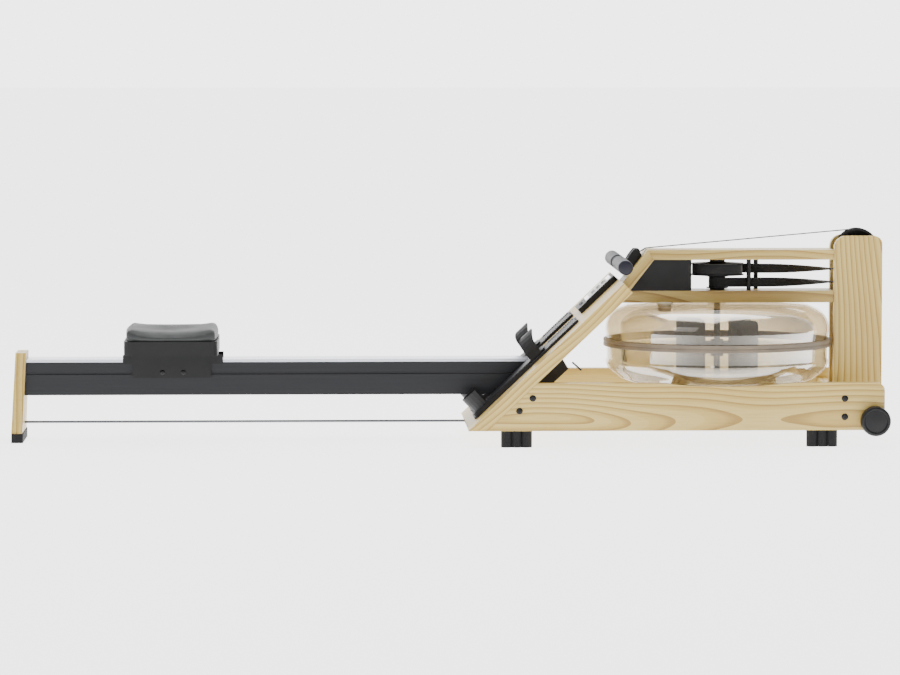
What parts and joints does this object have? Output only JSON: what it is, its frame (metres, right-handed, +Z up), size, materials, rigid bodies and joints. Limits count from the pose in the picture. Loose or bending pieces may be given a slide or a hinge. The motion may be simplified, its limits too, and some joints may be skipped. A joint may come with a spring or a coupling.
{
  "type": "rowing machine",
  "caption": "Low rowing machine with an ash frame, a single dark rail with a sliding seat, a clear water tank with a paddle, sloped foot stretchers and a straight handle on a strap.",
  "frame": {"origin": "on the floor under the middle of the machine", "axes": "+X towards the water tank, +Y to the rower's left, +Z up"},
  "size_m": [2.132, 0.56, 0.518],
  "materials": {
    "ash": "satin oiled ash",
    "anodised": "black anodised",
    "track": "satin",
    "steel": "satin",
    "rubber": "matte",
    "plastic": "matte",
    "wheel": "matte",
    "clear": "clear, slightly smoked",
    "band": "satin",
    "blade": "satin",
    "webbing": "woven",
    "bungee": "braided",
    "handle": "satin",
    "grip": "foam",
    "button": "matte",
    "stretcher": "matte",
    "pad": "closed foam",
    "shell": "matte"
  },
  "bodies": {
    "frame": {"right_base_rail": "ash", "left_base_rail": "ash", "board_batten": "ash", "front_cross_block": "ash", "rear_tank_bearer": "ash", "front_tank_bearer": "ash", "footboard": "ash", "neck": "ash", "top_deck": "ash", "mid_deck": "ash", "right_post": "ash", "left_post": "ash", "rear_leg": "ash", "monorail": "anodised", "rail_track": "track", "tie_rod": "steel", "wheel_axle": "steel", "top_pulley_axle": "steel", "recoil_pulley_axle": "steel", "rear_right_foot": "rubber", "rear_left_foot": "rubber", "front_right_foot": "rubber", "front_left_foot": "rubber", "leg_foot": "rubber", "strap_cover": "plastic", "rear_guide_pin": "plastic", "front_guide_pin": "plastic", "monitor_case": "plastic", "handle_rest": "plastic", "rail_end_bracket": "plastic", "tank_lower": "clear", "tank_upper": "clear", "tank_band": "band", "drive_strap": "webbing", "handle_strap": "webbing", "recoil_strap": "webbing", "right_foot_strap": "webbing", "left_foot_strap": "webbing", "bungee": "bungee", "right_foot_plate": "stretcher", "left_foot_plate": "stretcher"},
    "seat": {"seat_pad": "pad", "seat_shell": "shell", "seat_carriage": "shell"},
    "rear_rollers": {"rear_roller_pair": "rubber"},
    "front_rollers": {"front_roller_pair": "rubber"},
    "handle": {"handle_bar": "handle", "right_grip": "grip", "left_grip": "grip"},
    "drum": {"strap_drum": "plastic"},
    "top_wheel": {"top_pulley": "plastic"},
    "recoil_wheel": {"recoil_pulley": "plastic"},
    "paddle_wheel": {"paddle": "blade"},
    "right_transport_wheel": {"right_wheel": "wheel"},
    "left_transport_wheel": {"left_wheel": "wheel"},
    "right_heel": {"right_heel_slide": "stretcher"},
    "left_heel": {"left_heel_slide": "stretcher"},
    "button_1": {"monitor_button_1": "button"},
    "button_2": {"monitor_button_2": "button"},
    "plug": {"tank_plug": "plastic"}
  },
  "joints": [
    {"name": "seat_slide", "type": "slide", "parent": "frame", "child": "seat", "axis": [1, 0, 0], "range_m": [-0.22, 0.6]},
    {"name": "rear_roller_spin", "type": "hinge", "parent": "seat", "child": "rear_rollers", "pos_m": [-0.771, 0, 0.2146], "axis": [0, 1, 0], "range_deg": [-1000, 2600]},
    {"name": "front_roller_spin", "type": "hinge", "parent": "seat", "child": "front_rollers", "pos_m": [-0.581, 0, 0.2146], "axis": [0, 1, 0], "range_deg": [-1000, 2600]},
    {"name": "handle_pull", "type": "slide", "parent": "frame", "child": "handle", "axis": [-1, 0, 0], "range_m": [0, 1.2], "deforming": ["handle_strap"]},
    {"name": "drum_spin", "type": "hinge", "parent": "frame", "child": "drum", "pos_m": [0.665, 0, 0.4], "axis": [0, 0, 1], "range_deg": [-1150, 10]},
    {"name": "top_pulley_spin", "type": "hinge", "parent": "frame", "child": "top_wheel", "pos_m": [1.009, 0, 0.466], "axis": [0, 1, 0], "range_deg": [-1500, 10]},
    {"name": "recoil_pulley_spin", "type": "hinge", "parent": "frame", "child": "recoil_wheel", "pos_m": [1.009, 0, 0.3588], "axis": [0, 1, 0], "range_deg": [-950, 10]},
    {"name": "paddle_spin", "type": "hinge", "parent": "frame", "child": "paddle_wheel", "pos_m": [0.665, 0, 0.2], "axis": [0, 0, 1], "continuous": true},
    {"name": "right_wheel_spin", "type": "hinge", "parent": "frame", "child": "right_transport_wheel", "pos_m": [1.025, -0.265, 0.063], "axis": [0, 1, 0], "continuous": true},
    {"name": "left_wheel_spin", "type": "hinge", "parent": "frame", "child": "left_transport_wheel", "pos_m": [1.025, 0.265, 0.063], "axis": [0, 1, 0], "continuous": true},
    {"name": "right_heel_adjust", "type": "slide", "parent": "frame", "child": "right_heel", "axis": [0.7242, 0, 0.6896], "range_m": [0, 0.095]},
    {"name": "left_heel_adjust", "type": "slide", "parent": "frame", "child": "left_heel", "axis": [0.7242, 0, 0.6896], "range_m": [0, 0.095]},
    {"name": "button_1_press", "type": "slide", "parent": "frame", "child": "button_1", "axis": [0.6896, 0, -0.7242], "range_m": [0, 0.0012], "stiffness_N_per_m": 400},
    {"name": "button_2_press", "type": "slide", "parent": "frame", "child": "button_2", "axis": [0.6896, 0, -0.7242], "range_m": [0, 0.0012], "stiffness_N_per_m": 400},
    {"name": "plug_lift", "type": "slide", "parent": "frame", "child": "plug", "axis": [0, 0, 1], "range_m": [0, 0.06]}
  ],
  "couplings": [
    {"joint": "rear_roller_spin", "follows": "seat_slide", "rad_per_m": 71.429},
    {"joint": "front_roller_spin", "follows": "seat_slide", "rad_per_m": 71.429},
    {"joint": "drum_spin", "follows": "handle_pull", "rad_per_m": -15.924},
    {"joint": "top_pulley_spin", "follows": "handle_pull", "rad_per_m": -20.367},
    {"joint": "recoil_pulley_spin", "follows": "handle_pull", "rad_per_m": -12.872}
  ]
}
